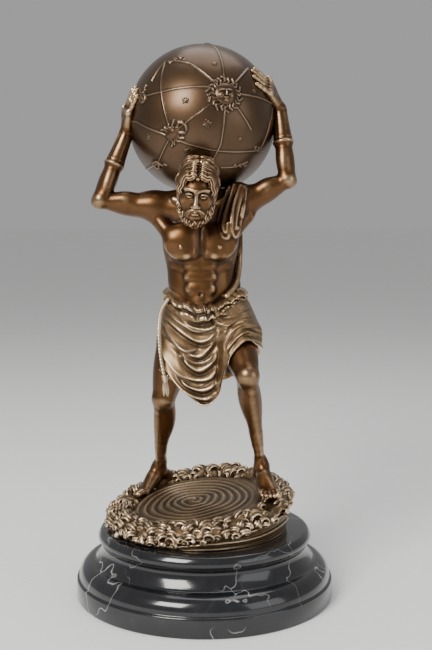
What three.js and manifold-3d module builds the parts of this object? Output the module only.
// Atlas carrying the celestial globe: a cast bronze figure on a sea base, on a round marble socle.
// Millimetres, +Z up. The figure faces -Y, and the origin is the centre of the socle's underside.
// "Right" and "left" are the figure's own sides: its right hand is on -X.
import * as THREE from "three";
import { mergeVertices } from "three/addons/utils/BufferGeometryUtils.js";
import Module from "manifold-3d";

const wasm = await Module();
wasm.setup();

// Driving dimensions
const SOCLE_RADIUS = 106;
const SOCLE_HEIGHT = 56;
const SOCLE_NECK = 84.5;
const FASCIA_HEIGHT = 16;
const GAP = 0.3;
const SEA_RADIUS = 76;
const SEA_CENTRE = [-4, 0];
const SEA_LEVEL = 76.5;
const SEA_SLOPE = [0.123, 0.1];
const FOAM_WIDTH = 21;
const FOAM_HEIGHT = 7;
const WHIRL_CENTRE = [-9, 0];
const WHIRL_RADIUS = 50;
const WHIRL_PITCH = 9.5;
const GLOBE_RADIUS = 61;
const GLOBE_CENTRE = [-2, 24, 391];
const BAND_WIDTH = 1.9;
const BAND_RISE = 0.8;
const HEAD_CENTRE = [-5.5, -37, 333];
const HEAD_BOW = 0.34;
const HEAD_ROLL = 0.09;

const V = (p) => new THREE.Vector3(...p);
const clamp = THREE.MathUtils.clamp;
const bell = (x) => Math.exp(-x * x);
const raised = ([x, y, z], rise) => [x, y, z + rise];

// The figure's joints and landmarks
const BODY = {
  shoulderR: [-38, 4, 319],
  elbowR: [-84, 0, 325],
  wristR: [-63, 10, 380],
  knucklesR: [-62, 3, 396],
  shoulderL: [30, 4, 322],
  elbowL: [67, 0, 341.5],
  wristL: [61, 13, 399],
  knucklesL: [52, 0, 413.5],
  hipR: [-21, 13, 224],
  kneeR: [-34, 5, 162],
  ankleR: [-39, 47, 91],
  heelR: [-31, 56, 81],
  ballR: [-54, 31, 76],
  toeR: [-60, 24, 75],
  hipL: [22, 13, 224],
  kneeL: [34, -36, 187],
  ankleL: [47, -4, 104],
  heelL: [45.5, 6, 94],
  ballL: [52, -30, 91],
  toeL: [53, -38, 90],
};

// Solids and meshes

function solid(geometry) {
  const bare = geometry.index ? geometry.clone() : mergeVertices(geometry.clone());
  for (const name of Object.keys(bare.attributes)) if (name !== "position") bare.deleteAttribute(name);
  const merged = mergeVertices(bare, 1e-4);
  const mesh = new wasm.Mesh({
    numProp: 3,
    vertProperties: new Float32Array(merged.attributes.position.array),
    triVerts: new Uint32Array(merged.index.array),
  });
  return new wasm.Manifold(mesh);
}

const fuse = (parts) => parts.reduce((whole, part) => whole.add(part));

function meshOf(name, shape, material) {
  const data = shape.getMesh();
  const geometry = new THREE.BufferGeometry();
  geometry.setAttribute("position", new THREE.BufferAttribute(data.vertProperties, 3));
  geometry.setIndex(new THREE.BufferAttribute(data.triVerts, 1));
  geometry.computeVertexNormals();
  const mesh = new THREE.Mesh(geometry, material);
  mesh.name = name;
  return mesh;
}

// A closed skin over rings of equal count, which all run the same way round. The ends close on a point.
function skin(rings, first, last) {
  const sides = rings[0].length;
  const points = [...rings.flat(), first, last];
  const faces = [];
  const at = (ring, side) => ring * sides + (side % sides);
  for (let ring = 0; ring + 1 < rings.length; ring++)
    for (let side = 0; side < sides; side++) {
      faces.push(at(ring, side), at(ring, side + 1), at(ring + 1, side + 1));
      faces.push(at(ring, side), at(ring + 1, side + 1), at(ring + 1, side));
    }
  const firstPoint = points.length - 2;
  const lastPoint = points.length - 1;
  for (let side = 0; side < sides; side++) {
    faces.push(firstPoint, at(0, side + 1), at(0, side));
    faces.push(lastPoint, at(rings.length - 1, side), at(rings.length - 1, side + 1));
  }
  const geometry = new THREE.BufferGeometry().setFromPoints(points);
  geometry.setIndex(faces);
  const made = solid(geometry);
  if (made.volume() > 0) return made;
  for (let i = 0; i < faces.length; i += 3) [faces[i], faces[i + 1]] = [faces[i + 1], faces[i]];
  geometry.setIndex(faces);
  return solid(geometry);
}

const across = (tangent, facing) => {
  const side = new THREE.Vector3().crossVectors(tangent, V(facing)).normalize();
  return [side, new THREE.Vector3().crossVectors(side, tangent).normalize()];
};

// A limb through stations [point, half width, half depth], smooth between them, with round ends.
function limb(stations, { sides = 8, steps = 6, facing = [0, -1, 0], ends = 0.5 } = {}) {
  const path = new THREE.CatmullRomCurve3(stations.map(([p]) => V(p)));
  const sizes = new THREE.CatmullRomCurve3(stations.map(([, a, b = a]) => V([a, b, 0])));
  const rings = [];
  for (let i = 0; i <= steps; i++) {
    const t = i / steps;
    const centre = path.getPoint(t);
    const [side, front] = across(path.getTangent(t), facing);
    const size = sizes.getPoint(t);
    const turn = (k) => ((k + (i % 2) / 2) * 2 * Math.PI) / sides;
    rings.push(
      Array.from({ length: sides }, (_, k) =>
        centre
          .clone()
          .addScaledVector(side, size.x * Math.cos(turn(k)))
          .addScaledVector(front, size.y * Math.sin(turn(k))),
      ),
    );
  }
  const cap = (t, way, size) => path.getPoint(t).addScaledVector(path.getTangent(t), way * ends * size);
  const lastSize = stations.at(-1)[1];
  return skin(rings, cap(0, -1, stations[0][1]), cap(1, 1, lastSize));
}

// Distance fields for modelled forms

const egg = (centre, radii) => (p) => {
  const q = [0, 1, 2].map((i) => (p[i] - centre[i]) / radii[i]);
  const near = Math.hypot(...q);
  const slope = Math.hypot(...q.map((v, i) => v / radii[i]));
  return slope < 1e-9 ? -Math.min(...radii) : (near * (near - 1)) / slope;
};

const rod = (from, to, first, middle = first, last = first) => {
  const along = to.map((v, i) => v - from[i]);
  const length2 = along.reduce((sum, v) => sum + v * v, 0);
  return (p) => {
    const t = clamp(along.reduce((sum, v, i) => sum + v * (p[i] - from[i]), 0) / length2, 0, 1);
    const radius = first + (last - first) * t + (middle - (first + last) / 2) * 4 * t * (1 - t);
    return Math.hypot(...p.map((v, i) => v - from[i] - along[i] * t)) - radius;
  };
};

// Forms melted together over a width k
const melt = (k, forms) => (p) => {
  let d = Infinity;
  for (const form of forms) {
    const e = form(p);
    const h = Math.max(k - Math.abs(d - e), 0) / k;
    d = Math.min(d, e) - (Number.isFinite(h) ? (h * h * k) / 4 : 0);
  }
  return d;
};

// How far from a point the form's outer surface lies in one direction
function reach(field, origin, way, far) {
  let r = far;
  for (let i = 0; i < 60 && r > 0.5; i++) {
    const d = field(origin.clone().addScaledVector(way, r).toArray());
    if (d < 0.02) return r;
    r -= Math.max(d * 0.8, 0.05);
  }
  return 0.5;
}

// A form whose level sections are cast outwards from a line of centres
function cast(field, centres, { sides = 20, steps = 16, far = 60 } = {}) {
  const line = new THREE.CatmullRomCurve3(centres.map(V));
  const rings = [];
  for (let i = 0; i <= steps; i++) {
    const centre = line.getPoint(i / steps);
    rings.push(
      Array.from({ length: sides }, (_, k) => {
        const a = (2 * Math.PI * (k + (i % 2) / 2)) / sides;
        const way = V([Math.cos(a), Math.sin(a), 0]);
        return centre.clone().addScaledVector(way, reach(field, centre, way, far));
      }),
    );
  }
  return skin(rings, line.getPoint(0), line.getPoint(1));
}

// The socle: a turned profile, closed on its axis

const SOCLE_SIDES = 30;
const EASE = 1;
// Widths and heights of the mouldings over the fascia: a quarter round, a hollow and a roll
const OVOLO = { inset: 2, width: 12, height: 13 };
const HOLLOW = { inset: 15, width: 6.5, height: 13 };
const ROLL = { height: 12, bulge: 3.2 };

function socle() {
  const quarter = (t) => (t * Math.PI) / 2;
  const ovolo = [0, 0.33, 0.67, 1].map((t) => [
    SOCLE_RADIUS - OVOLO.inset - OVOLO.width * (1 - Math.cos(quarter(t))),
    FASCIA_HEIGHT + EASE + OVOLO.height * Math.sin(quarter(t)),
  ]);
  const hollow = [0.25, 0.6, 1].map((t) => [
    SOCLE_RADIUS - HOLLOW.inset - HOLLOW.width * Math.sin(quarter(t)),
    FASCIA_HEIGHT + EASE + OVOLO.height + HOLLOW.height * t,
  ]);
  const roll = [0.2, 0.5, 0.8].map((t) => [
    SOCLE_NECK + ROLL.bulge * Math.sin(t * Math.PI) + 0.4,
    SOCLE_HEIGHT - ROLL.height * (1 - t),
  ]);
  const profile = [
    [0, 0],
    [SOCLE_RADIUS - EASE, 0],
    [SOCLE_RADIUS, EASE],
    [SOCLE_RADIUS, FASCIA_HEIGHT - EASE],
    [SOCLE_RADIUS - EASE, FASCIA_HEIGHT],
    ...ovolo,
    ...hollow,
    ...roll,
    [SOCLE_NECK - 1.5, SOCLE_HEIGHT],
    [0, SOCLE_HEIGHT],
  ];
  const turned = new THREE.LatheGeometry(
    profile.map(([r, z]) => new THREE.Vector2(r, z)),
    SOCLE_SIDES,
  );
  return solid(turned.rotateX(Math.PI / 2));
}

// The sea base: tilted water that turns in a spiral inside a rim of foam, on a disc with a swept side

const seaHeight = (x, y) =>
  SEA_LEVEL + SEA_SLOPE[0] * (x - WHIRL_CENTRE[0]) + SEA_SLOPE[1] * (y - WHIRL_CENTRE[1]);

function whirl(x, y) {
  const dx = x - WHIRL_CENTRE[0];
  const dy = y - WHIRL_CENTRE[1];
  const r = Math.hypot(dx, dy);
  const turns = r / WHIRL_PITCH - Math.atan2(dy, dx) / (2 * Math.PI);
  const fade = clamp((WHIRL_RADIUS - r) / 6, 0, 1);
  return fade * (0.9 * Math.cos(2 * Math.PI * turns) - 0.6) + 4 * bell(r / 5);
}

function foam(angle, inward) {
  const across = clamp(inward / FOAM_WIDTH, 0, 1);
  const body = Math.sin(Math.PI * Math.pow(1 - across, 0.7));
  const curls = 1 + 0.38 * Math.cos(17 * angle + 2 * across) + 0.22 * Math.cos(29 * angle - 5 * across + 1);
  return FOAM_HEIGHT * body * curls;
}

function seaBase() {
  const sides = 36;
  const steps = [1, 0.93, 0.85, 0.76, 0.66, 0.55, 0.43, 0.3, 0.15];
  const floor = SOCLE_HEIGHT + GAP;
  const ringAt = (radius, height) =>
    Array.from({ length: sides }, (_, k) => {
      const a = (2 * Math.PI * k) / sides;
      const r = radius(a);
      const x = SEA_CENTRE[0] + r * Math.cos(a);
      const y = SEA_CENTRE[1] + r * Math.sin(a);
      return V([x, y, height(x, y, a, r)]);
    });
  const edge = (a) => SEA_RADIUS + 1.6 * Math.cos(17 * a) + 1.1 * Math.cos(29 * a + 1);
  const top = steps.map((share) =>
    ringAt(
      (a) => edge(a) * share,
      (x, y, a, r) => seaHeight(x, y) - 3 * share ** 8 + foam(a, edge(a) - r) + whirl(x, y),
    ),
  );
  const side = [
    ringAt(() => SEA_RADIUS - 2, () => floor),
    ringAt(() => SEA_RADIUS - 3, (x, y) => floor + 0.3 * (seaHeight(x, y) - floor)),
    ringAt((a) => edge(a) - 0.5, (x, y) => floor + 0.68 * (seaHeight(x, y) - floor)),
  ];
  const crest = V([...WHIRL_CENTRE, SEA_LEVEL + 4]);
  return skin([...side, ...top], V([...SEA_CENTRE, floor]), crest);
}

// The globe, with bands of its chart and the sun in relief

const onGlobe = (azimuth, elevation, rise = 0) => {
  const a = THREE.MathUtils.degToRad(azimuth);
  const e = THREE.MathUtils.degToRad(elevation);
  return V([Math.sin(a) * Math.cos(e), -Math.cos(a) * Math.cos(e), Math.sin(e)]).multiplyScalar(
    GLOBE_RADIUS + rise,
  );
};

// Places on the globe, as degrees round from the front and up from its middle
const SUN = [18, 14];
const CRAB = [-23, -15];
const CHART = [
  [SUN, [22, 57]],
  [SUN, [50, 38]],
  [SUN, [76, 9]],
  [SUN, [40, -11]],
  [SUN, [7, -27]],
  [SUN, CRAB],
  [SUN, [-33, 16], [-49, 14]],
  [SUN, [-12, 40]],
  [[-46, 26], [-41, 44], [-33, 18], CRAB],
  [[-58, -4], [-32, -14], [7, -27], [34, -28], [57, -25], [68, 6]],
  [CRAB, [-44, -36]],
  [[19, -42], [34, -41], [47, -36]],
];
// Creatures of the chart, as place, points and radius
const CREATURES = [
  [CRAB, 5, 8],
  [[-49, -39], 4, 6.5],
  [[-51, 13], 4, 5],
];
const BAND_STEP = 0.34;
const BAND_DEPTH = 1.5;

// A raised band along great circles from place to place
function band(places) {
  const stops = places.map((place) => onGlobe(...place).normalize());
  const line = [stops[0]];
  for (let i = 1; i < stops.length; i++) {
    const steps = Math.ceil(stops[i - 1].angleTo(stops[i]) / BAND_STEP);
    for (let k = 1; k <= steps; k++)
      line.push(
        stops[i - 1]
          .clone()
          .lerp(stops[i], k / steps)
          .normalize(),
      );
  }
  const rings = line.map((out, i) => {
    const along = line[Math.min(i + 1, line.length - 1)].clone().sub(line[Math.max(i - 1, 0)]);
    const side = new THREE.Vector3().crossVectors(along, out).normalize();
    const foot = out.clone().multiplyScalar(GLOBE_RADIUS - BAND_DEPTH);
    return [
      foot.clone().addScaledVector(side, -BAND_WIDTH / 2),
      foot.clone().addScaledVector(side, BAND_WIDTH / 2),
      out.clone().multiplyScalar(GLOBE_RADIUS + BAND_RISE),
    ];
  });
  const middle = (ring) => ring[0].clone().add(ring[1]).add(ring[2]).divideScalar(3);
  return skin(rings, middle(rings[0]), middle(rings.at(-1)));
}

// A pointed boss on the globe: rings of [radius, rise] about a place, closed at its crown's rise
function boss(place, points, rings, crown) {
  const centre = onGlobe(...place).normalize();
  const up = V([0, 0, 1]).addScaledVector(centre, -centre.z).normalize();
  const right = new THREE.Vector3().crossVectors(up, centre);
  const ring = ([radius, rise]) =>
    Array.from({ length: points * 2 }, (_, k) => {
      const a = (Math.PI * k) / points;
      const r = radius * (k % 2 ? 0.76 : 1);
      return centre
        .clone()
        .multiplyScalar(GLOBE_RADIUS)
        .addScaledVector(right, r * Math.cos(a))
        .addScaledVector(up, r * Math.sin(a))
        .setLength(GLOBE_RADIUS + rise);
    });
  const at = (rise) => centre.clone().multiplyScalar(GLOBE_RADIUS + rise);
  return skin(rings.map(ring), at(-3), at(crown));
}

const SUN_POINTS = 12;
const SUN_RINGS = [
  [16, -2],
  [16, 0.6],
  [11, 1.4],
  [8, 2.2],
];
const SUN_CROWN = 3.2;

const creature = ([place, points, radius]) =>
  boss(
    place,
    points,
    [
      [radius, -2],
      [radius * 0.95, 0.5],
      [radius * 0.5, 1.3],
    ],
    1.6,
  );

function globe() {
  const ball = solid(new THREE.SphereGeometry(GLOBE_RADIUS, 24, 14).rotateX(Math.PI / 2));
  const sun = boss(SUN, SUN_POINTS, SUN_RINGS, SUN_CROWN);
  return fuse([ball, ...CHART.map(band), ...CREATURES.map(creature), sun]);
}

// The torso, with its chest, belly and back

function torso() {
  const pair = (make) => [make(-1), make(1)];
  const forms = [
    egg([-2.5, 1, 290], [31, 18, 31]),
    egg([-2, 4, 257], [26, 17, 28]),
    egg([-3, 8, 316], [25, 17, 17]),
    rod([-33, 4, 317], [26, 4, 319], 12, 15, 12),
    rod([-4, 0, 318], [-5, -18, 326], 11, 10, 10),
    ...pair((s) => rod([-4 + 6 * s, 4, 327], [-4 + 32 * s, 4, 322], 8)),
    ...pair((s) => egg([-3 + 15 * s, -13.5, 290.5], [15, 8, 12.5])),
    ...pair((s) => rod([-3.5 + 24 * s, 8, 306], [-1.5 + 21 * s, 8, 262], 8, 8.5, 5)),
    ...pair((s) => egg([-1 + 24 * s, 1, 249], [8, 13, 9])),
    ...pair((s) => egg([-1.5 + 8 * s, -14, 276], [7, 4, 6])),
    ...pair((s) => egg([-1 + 7.5 * s, -13.5, 263], [6.5, 4, 6])),
    ...pair((s) => egg([-0.5 + 13 * s, 16, 222], [14, 14, 16])),
  ];
  const centres = [
    [0, 13, 212],
    [0, 10, 235],
    [-1, 3, 262],
    [-2, 0, 290],
    [-4, 2, 312],
    [-4, -2, 336],
  ];
  return cast(melt(7, forms), centres, { sides: 18, steps: 13, far: 48 });
}

// Arms and hands

function arm(shoulder, elbow, wrist, bulk) {
  const between = (a, b, t, lift = 0) => a.map((v, i) => v + (b[i] - v) * t + (i === 2 ? lift : 0));
  const upper = limb(
    [
      [between(shoulder, elbow, -0.12), 10, 12],
      [between(shoulder, elbow, 0.12, 0.8), 12 * bulk, 12.5 * bulk],
      [between(shoulder, elbow, 0.45), 10, 10],
      [between(shoulder, elbow, 0.68), 9.4, 9.4],
      [between(shoulder, elbow, 0.95), 7.4, 8],
    ],
    { steps: 6 },
  );
  // The forearm, which steps out where the lower edge of its cuff is
  const fore = limb(
    [
      [between(elbow, wrist, -0.08), 6.4],
      [between(elbow, wrist, 0.12), 8.6, 8.2],
      [between(elbow, wrist, 0.33), 8.4 * bulk, 8],
      [between(elbow, wrist, 0.49), 7, 6.8],
      [between(elbow, wrist, 0.53), 8.9, 8.6],
      [between(elbow, wrist, 0.76), 7, 6.7],
      [between(elbow, wrist, 1.02), 5.3, 4.9],
    ],
    { steps: 6 },
  );
  return [upper, fore];
}

// A hand laid on the globe: the palm's middle line, then each finger bent round the ball
function hand(wrist, knuckles, aim, thumbSide) {
  const centre = V(GLOBE_CENTRE);
  const hold = (p, clear) => {
    const out = p.clone().sub(centre);
    return centre.clone().add(out.setLength(Math.max(out.length(), GLOBE_RADIUS + clear)));
  };
  const start = V(wrist);
  const way = V(aim).normalize();
  const out = V(knuckles).sub(centre).normalize();
  const side = new THREE.Vector3().crossVectors(way, out).normalize().multiplyScalar(thumbSide);
  const knuckle = V(knuckles);
  const palm = limb(
    [
      [start.toArray(), 4.6, 4.2],
      [start.clone().lerp(knuckle, 0.55).toArray(), 6.6, 3.6],
      [knuckle.toArray(), 7.8, 3.1],
    ],
    { steps: 3, sides: 8, facing: out.toArray() },
  );
  const finger = (offset, length, spread) => {
    const root = knuckle.clone().addScaledVector(side, offset);
    const line = way.clone().addScaledVector(side, spread).normalize();
    const at = (t) => hold(root.clone().addScaledVector(line, length * t), 1.1 - 0.6 * t).toArray();
    return limb(
      [
        [at(-0.25), 2.3],
        [at(0.4), 2.2],
        [at(1), 1.5],
      ],
      { steps: 2, sides: 4, facing: out.toArray() },
    );
  };
  const thumb = limb(
    [
      [start.clone().lerp(knuckle, 0.25).addScaledVector(side, 3).toArray(), 2.8],
      [hold(start.clone().lerp(knuckle, 0.6).addScaledVector(side, 9), 0.8).toArray(), 2.6],
      [hold(start.clone().lerp(knuckle, 1.05).addScaledVector(side, 13), 0.5).toArray(), 1.7],
    ],
    { steps: 2, sides: 4, facing: out.toArray() },
  );
  const fingers = [
    [5.9, 18, 0.16],
    [2, 20.5, 0.03],
    [-2, 19, -0.08],
    [-5.8, 15.5, -0.22],
  ];
  return [palm, thumb, ...fingers.map((f) => finger(...f))];
}

// Legs and feet

function leg(hip, knee, ankle, calfOut) {
  const between = (a, b, t) => a.map((v, i) => v + (b[i] - v) * t);
  const shift = (p, d) => p.map((v, i) => v + d[i]);
  const thigh = limb(
    [
      [hip, 15, 17],
      [between(hip, knee, 0.3), 15.5, 16],
      [between(hip, knee, 0.65), 12.5, 13],
      [between(hip, knee, 0.97), 10, 10.2],
    ],
    { steps: 5 },
  );
  const shin = limb(
    [
      [between(knee, ankle, -0.06), 9, 9.4],
      [between(knee, ankle, 0.06), 8.9, 9.4],
      [shift(between(knee, ankle, 0.3), calfOut), 10.6, 10.4],
      [shift(between(knee, ankle, 0.5), calfOut.map((v) => v * 0.5)), 8.6, 8.6],
      [between(knee, ankle, 0.76), 5, 5.6],
      [between(knee, ankle, 0.94), 4.6, 5.6],
      [between(knee, ankle, 1.04), 5.4, 6.2],
    ],
    { steps: 8 },
  );
  return [thigh, shin];
}

function foot(ankle, heel, ball, toe, splay) {
  const line = V(toe).sub(V(heel)).setZ(0).normalize();
  const side = new THREE.Vector3().crossVectors(line, V([0, 0, 1]));
  const instep = V(ankle).lerp(V(ball), 0.42).setZ((ankle[2] + ball[2]) / 2 + 1.5);
  const sole = limb(
    [
      [heel, 4.4, 4.6],
      [V(heel).lerp(V(ball), 0.45).toArray(), 5.6, 3.4],
      [ball, 8, 3],
    ],
    { steps: 3, sides: 7, facing: [0, 0, 1] },
  );
  const arch = limb(
    [
      [raised(ankle, -1), 5.2, 5.6],
      [instep.toArray(), 5.4, 4.6],
      [ball, 6.4, 2.8],
    ],
    { steps: 3, sides: 7, facing: [0, 0, 1] },
  );
  const toes = [-6, -3.2, -0.6, 1.9, 5.4].map((offset, i) => {
    const big = i === (splay > 0 ? 0 : 4);
    const along = big ? 9 : 8.4 - 1.3 * Math.abs(splay > 0 ? i - 1 : 3 - i);
    const root = V(ball).addScaledVector(side, offset * 0.92);
    const tip = root.clone().addScaledVector(line, along).addScaledVector(side, offset * 0.08);
    return limb(
      [
        [root.toArray(), big ? 2.6 : 1.8],
        [raised(tip.toArray(), -0.8), big ? 2.4 : 1.6],
      ],
      { steps: 1, sides: 4, facing: [0, 0, 1], ends: 0.8 },
    );
  });
  return [sole, arch, ...toes];
}

// The head, in its own frame: the face looks along -Y, and the crown is up

function head() {
  const skull = egg([0, 3, 3], [15, 18, 18]);
  const face = egg([0, -8, -7], [11.5, 10.5, 17]);
  const hair = egg([0, 4, 7], [17.5, 19, 19.5]);
  const beard = egg([0, -8, -20], [11.5, 10.5, 12]);
  const brow = rod([-7, -16.8, 2.4], [7, -16.8, 2.4], 1.6, 2.2, 1.6);
  const nose = rod([0, -18, 0], [0, -21.5, -8], 1.3, 1.8, 2.4);
  const cheeks = [-1, 1].map((s) => egg([7 * s, -14, -6], [4, 4, 4.5]));
  const mustache = [-1, 1].map((s) => rod([0.8 * s, -19.6, -11.4], [7.5 * s, -15.5, -14.5], 1.5, 1.9, 1));
  const whiskers = [-1, 1].map((s) => rod([11 * s, -6, -3], [8 * s, -12, -19], 3, 3.6, 4));
  const sides = [-1, 1].map((s) => rod([13 * s, -6, 10], [15.5 * s, 3, -12], 4.5, 5, 4.5));
  const field = melt(2.4, [skull, face, brow, nose, ...cheeks, ...mustache, ...whiskers, ...sides, beard]);
  const front = (p) => clamp((-p[1] - 6) / 6, 0, 1) * clamp((9 - p[2]) / 4, 0, 1);
  const locks = (p) => 1.3 * Math.cos(1.15 * p[2] + 0.18 * p[0] * p[0] * 0.25) * (1 - front(p));
  const chin = (p) => clamp((-12 - p[2]) / 4, 0, 1);
  const curls = (p) => 1.1 * chin(p) * Math.cos(0.95 * p[0] + 0.6 * Math.sin(0.7 * p[2]));
  const hairline = (p) => hair(p) + 7 * front(p);
  const whole = (p) => Math.min(field(p) - curls(p), hairline(p) - locks(p));
  const around = 18;
  const steps = 13;
  const middle = V([0, -1, -2]);
  const cut = (i, k) => {
    const polar = Math.PI * (0.035 + (0.93 * i) / steps);
    const a = (2 * Math.PI * k) / around - Math.PI / 2;
    return V([Math.sin(polar) * Math.cos(a), Math.sin(polar) * Math.sin(a), Math.cos(polar)]);
  };
  const out = (way) => middle.clone().addScaledVector(way, reach(whole, middle, way, 45));
  const rings = Array.from({ length: steps + 1 }, (_, i) =>
    Array.from({ length: around }, (_, k) => out(cut(i, k))),
  );
  const made = skin(rings, out(V([0, 0, 1])), out(V([0, 0, -1])));
  const degrees = THREE.MathUtils.radToDeg;
  return made.rotate([degrees(HEAD_BOW), 0, 0]).rotate([0, degrees(HEAD_ROLL), 0]).translate(HEAD_CENTRE);
}

// The wrap round the hips: a cloth hung between the waist roll and its hem

// The waist's and the hem's points stand in pairs, so the cloth's threads run from one down to the other
const WAIST = [
  [0, -21, 240],
  [-17, -17.5, 243],
  [-28.5, -4, 251],
  [-25, 17, 254],
  [0, 26, 252],
  [24, 20, 254],
  [30.5, 2, 253],
  [29.5, -6, 251.5],
  [25, -13, 248.5],
  [19, -17, 245.5],
  [12.5, -19.5, 242.5],
  [6.5, -20.5, 241],
];
const HEM = [
  [0, -27, 161],
  [-20, -21, 174],
  [-36, -3, 186],
  [-34, 24, 176],
  [-2, 40, 168],
  [32, 30, 180],
  [47, 2, 203],
  [45, -15, 206],
  [34, -29, 214],
  [23, -30, 206],
  [16, -31, 192],
  [10, -28, 168],
];
// Hanging folds of the front, as [left, bottom, right] in X and Z, with the depth of each
const SWAGS = [
  [[-30, 238], [-2, 224], [24, 240], 1.3],
  [[-31, 231], [-1, 210], [14, 228], 1.7],
  [[-31, 223], [-2, 198], [20, 226], 2],
  [[-32, 214], [-5, 186], [14, 206], 2],
  [[-32, 205], [-3, 173], [13, 190], 2.2],
];
const ARCHES = [
  [[11, 200], [29, 227], [45, 216], 1.6],
  [[15, 194], [32, 219], [46, 208], 1.6],
];

// Signed distance in the front view from a point to a fold's line, which turns at its middle point
function lineOffset([left, turn, right], x, z) {
  const s = x < turn[0] ? (turn[0] - x) / (turn[0] - left[0]) : (x - turn[0]) / (right[0] - turn[0]);
  const end = x < turn[0] ? left : right;
  const share = clamp(s, 0, 1.15);
  const height = turn[1] + (end[1] - turn[1]) * Math.pow(share, 1.35);
  return { off: z - height, fade: clamp((1.15 - s) * 4, 0, 1) };
}

function folds(x, z) {
  return [...SWAGS, ...ARCHES].reduce((sum, fold) => {
    const { off, fade } = lineOffset(fold, x, z);
    return sum + fade * fold[3] * (bell(off / 2.6) - 0.5 * bell((off + 5) / 2.8));
  }, 0);
}

// How far down the wrap each ring of its outside is, and how far that ring stands out for the waist roll
const WRAP_RINGS = [
  [-0.02, 0.5],
  [0.015, 3.6],
  [0.06, 3.2],
  [0.09, 0.4],
  [0.18, 0],
  [0.27, 0],
  [0.36, 0],
  [0.45, 0],
  [0.54, 0],
  [0.63, 0],
  [0.72, 0],
  [0.81, 0],
  [0.9, 0],
  [1, 0],
];
const WRAP_THICKNESS = 3.2;

function wrap() {
  const sides = 26;
  const waist = new THREE.CatmullRomCurve3(WAIST.map(V), true);
  const hem = new THREE.CatmullRomCurve3(HEM.map(V), true);
  const axis = V([1, 4, 0]);
  const outward = (p) => V([p.x - axis.x, p.y - axis.y, 0]).normalize();
  const ringAt = (t, place) =>
    Array.from({ length: sides }, (_, k) => {
      const p = waist.getPoint(k / sides).lerp(hem.getPoint(k / sides), t);
      return place(p, outward(p), (k / sides) * 2 * Math.PI);
    });
  const outer = WRAP_RINGS.map(([t, roll]) =>
    ringAt(t, (p, out, turn) => {
      const front = clamp(-out.y * 1.6, 0, 1);
      const back = 1.3 * Math.cos(turn * 11 + 2 * t) * (1 - front) * t;
      const gathered = roll * (1 + 0.16 * Math.cos(turn * 13));
      const swell = 3.4 * Math.sin(Math.PI * clamp(t, 0, 1));
      return p.addScaledVector(out, gathered + swell + front * folds(p.x, p.z) + back);
    }),
  );
  const inner = [1, 0.78].map((t) => ringAt(t, (p, out) => p.addScaledVector(out, -WRAP_THICKNESS)));
  return skin([...outer, ...inner], V([0, 4, 252]), V([2, 4, 192]));
}

function ropeAndCloth() {
  const rope = limb(
    [
      [[-31, -10, 243], 1.7],
      [[-35, -11, 231], 1.7],
      [[-35.5, -11, 214], 1.7],
      [[-34, -11, 196], 1.7],
      [[-31.5, -10, 178], 2.4],
      [[-30.5, -10, 168], 1.4],
    ],
    { sides: 5, steps: 8, facing: [1, 0, 0] },
  );
  const shoulderCloth = limb(
    [
      [[20, 16, 326], 8, 4],
      [[22, 4, 336], 12.5, 4.5],
      [[21, -9, 331], 13, 6],
      [[19, -17, 314], 12.5, 7.5],
      [[20, -19, 300], 10, 7],
      [[20.5, -18, 293], 5, 4.5],
    ],
    { sides: 9, steps: 6, facing: [0, -1, 0.01] },
  );
  const backCloth = limb(
    [
      [[22, 14, 330], 9, 4],
      [[23.5, 19, 305], 9, 4.5],
      [[24, 18, 280], 8.5, 5],
      [[26, 8, 262], 6.5, 9],
      [[27, 2, 250], 6, 9],
    ],
    { sides: 7, steps: 6 },
  );
  return [rope, shoulderCloth, backCloth];
}

function bronzeFigure() {
  const B = BODY;
  const parts = [
    torso(),
    head(),
    ...arm(B.shoulderR, B.elbowR, B.wristR, 1),
    ...arm(B.shoulderL, B.elbowL, B.wristL, 1),
    ...hand(B.wristR, B.knucklesR, [0.4, -0.12, 0.9], -1),
    ...hand(B.wristL, B.knucklesL, [-0.75, -0.4, 0.5], 1),
    ...leg(B.hipR, B.kneeR, B.ankleR, [2, 3, 0]),
    ...leg(B.hipL, B.kneeL, B.ankleL, [1.5, 3, 0]),
    ...foot(B.ankleR, B.heelR, B.ballR, B.toeR, -1),
    ...foot(B.ankleL, B.heelL, B.ballL, B.toeL, 1),
    wrap(),
    ...ropeAndCloth(),
    seaBase(),
  ];
  const seat = 1 + GAP / GLOBE_RADIUS;
  const cut = fuse(parts).subtract(globe().scale([seat, seat, seat]).translate(GLOBE_CENTRE));
  // Pockets shut in between the joined forms are filled, so the largest outer body is the whole figure
  return cut.decompose().reduce((most, body) => (body.volume() > most.volume() ? body : most));
}

// Materials

const marble = new THREE.MeshStandardMaterial({ color: 0x17181a, roughness: 0.18, metalness: 0 });
const bronze = new THREE.MeshStandardMaterial({ color: 0x7a5534, roughness: 0.34, metalness: 0.9 });
const darkBronze = new THREE.MeshStandardMaterial({ color: 0x4d3826, roughness: 0.36, metalness: 0.9 });

const statue = new THREE.Group();
statue.add(meshOf("marble_socle", socle(), marble));
statue.add(meshOf("bronze_figure_on_sea_base", bronzeFigure(), bronze));
statue.add(meshOf("celestial_globe", globe().translate(GLOBE_CENTRE), darkBronze));

export default statue;
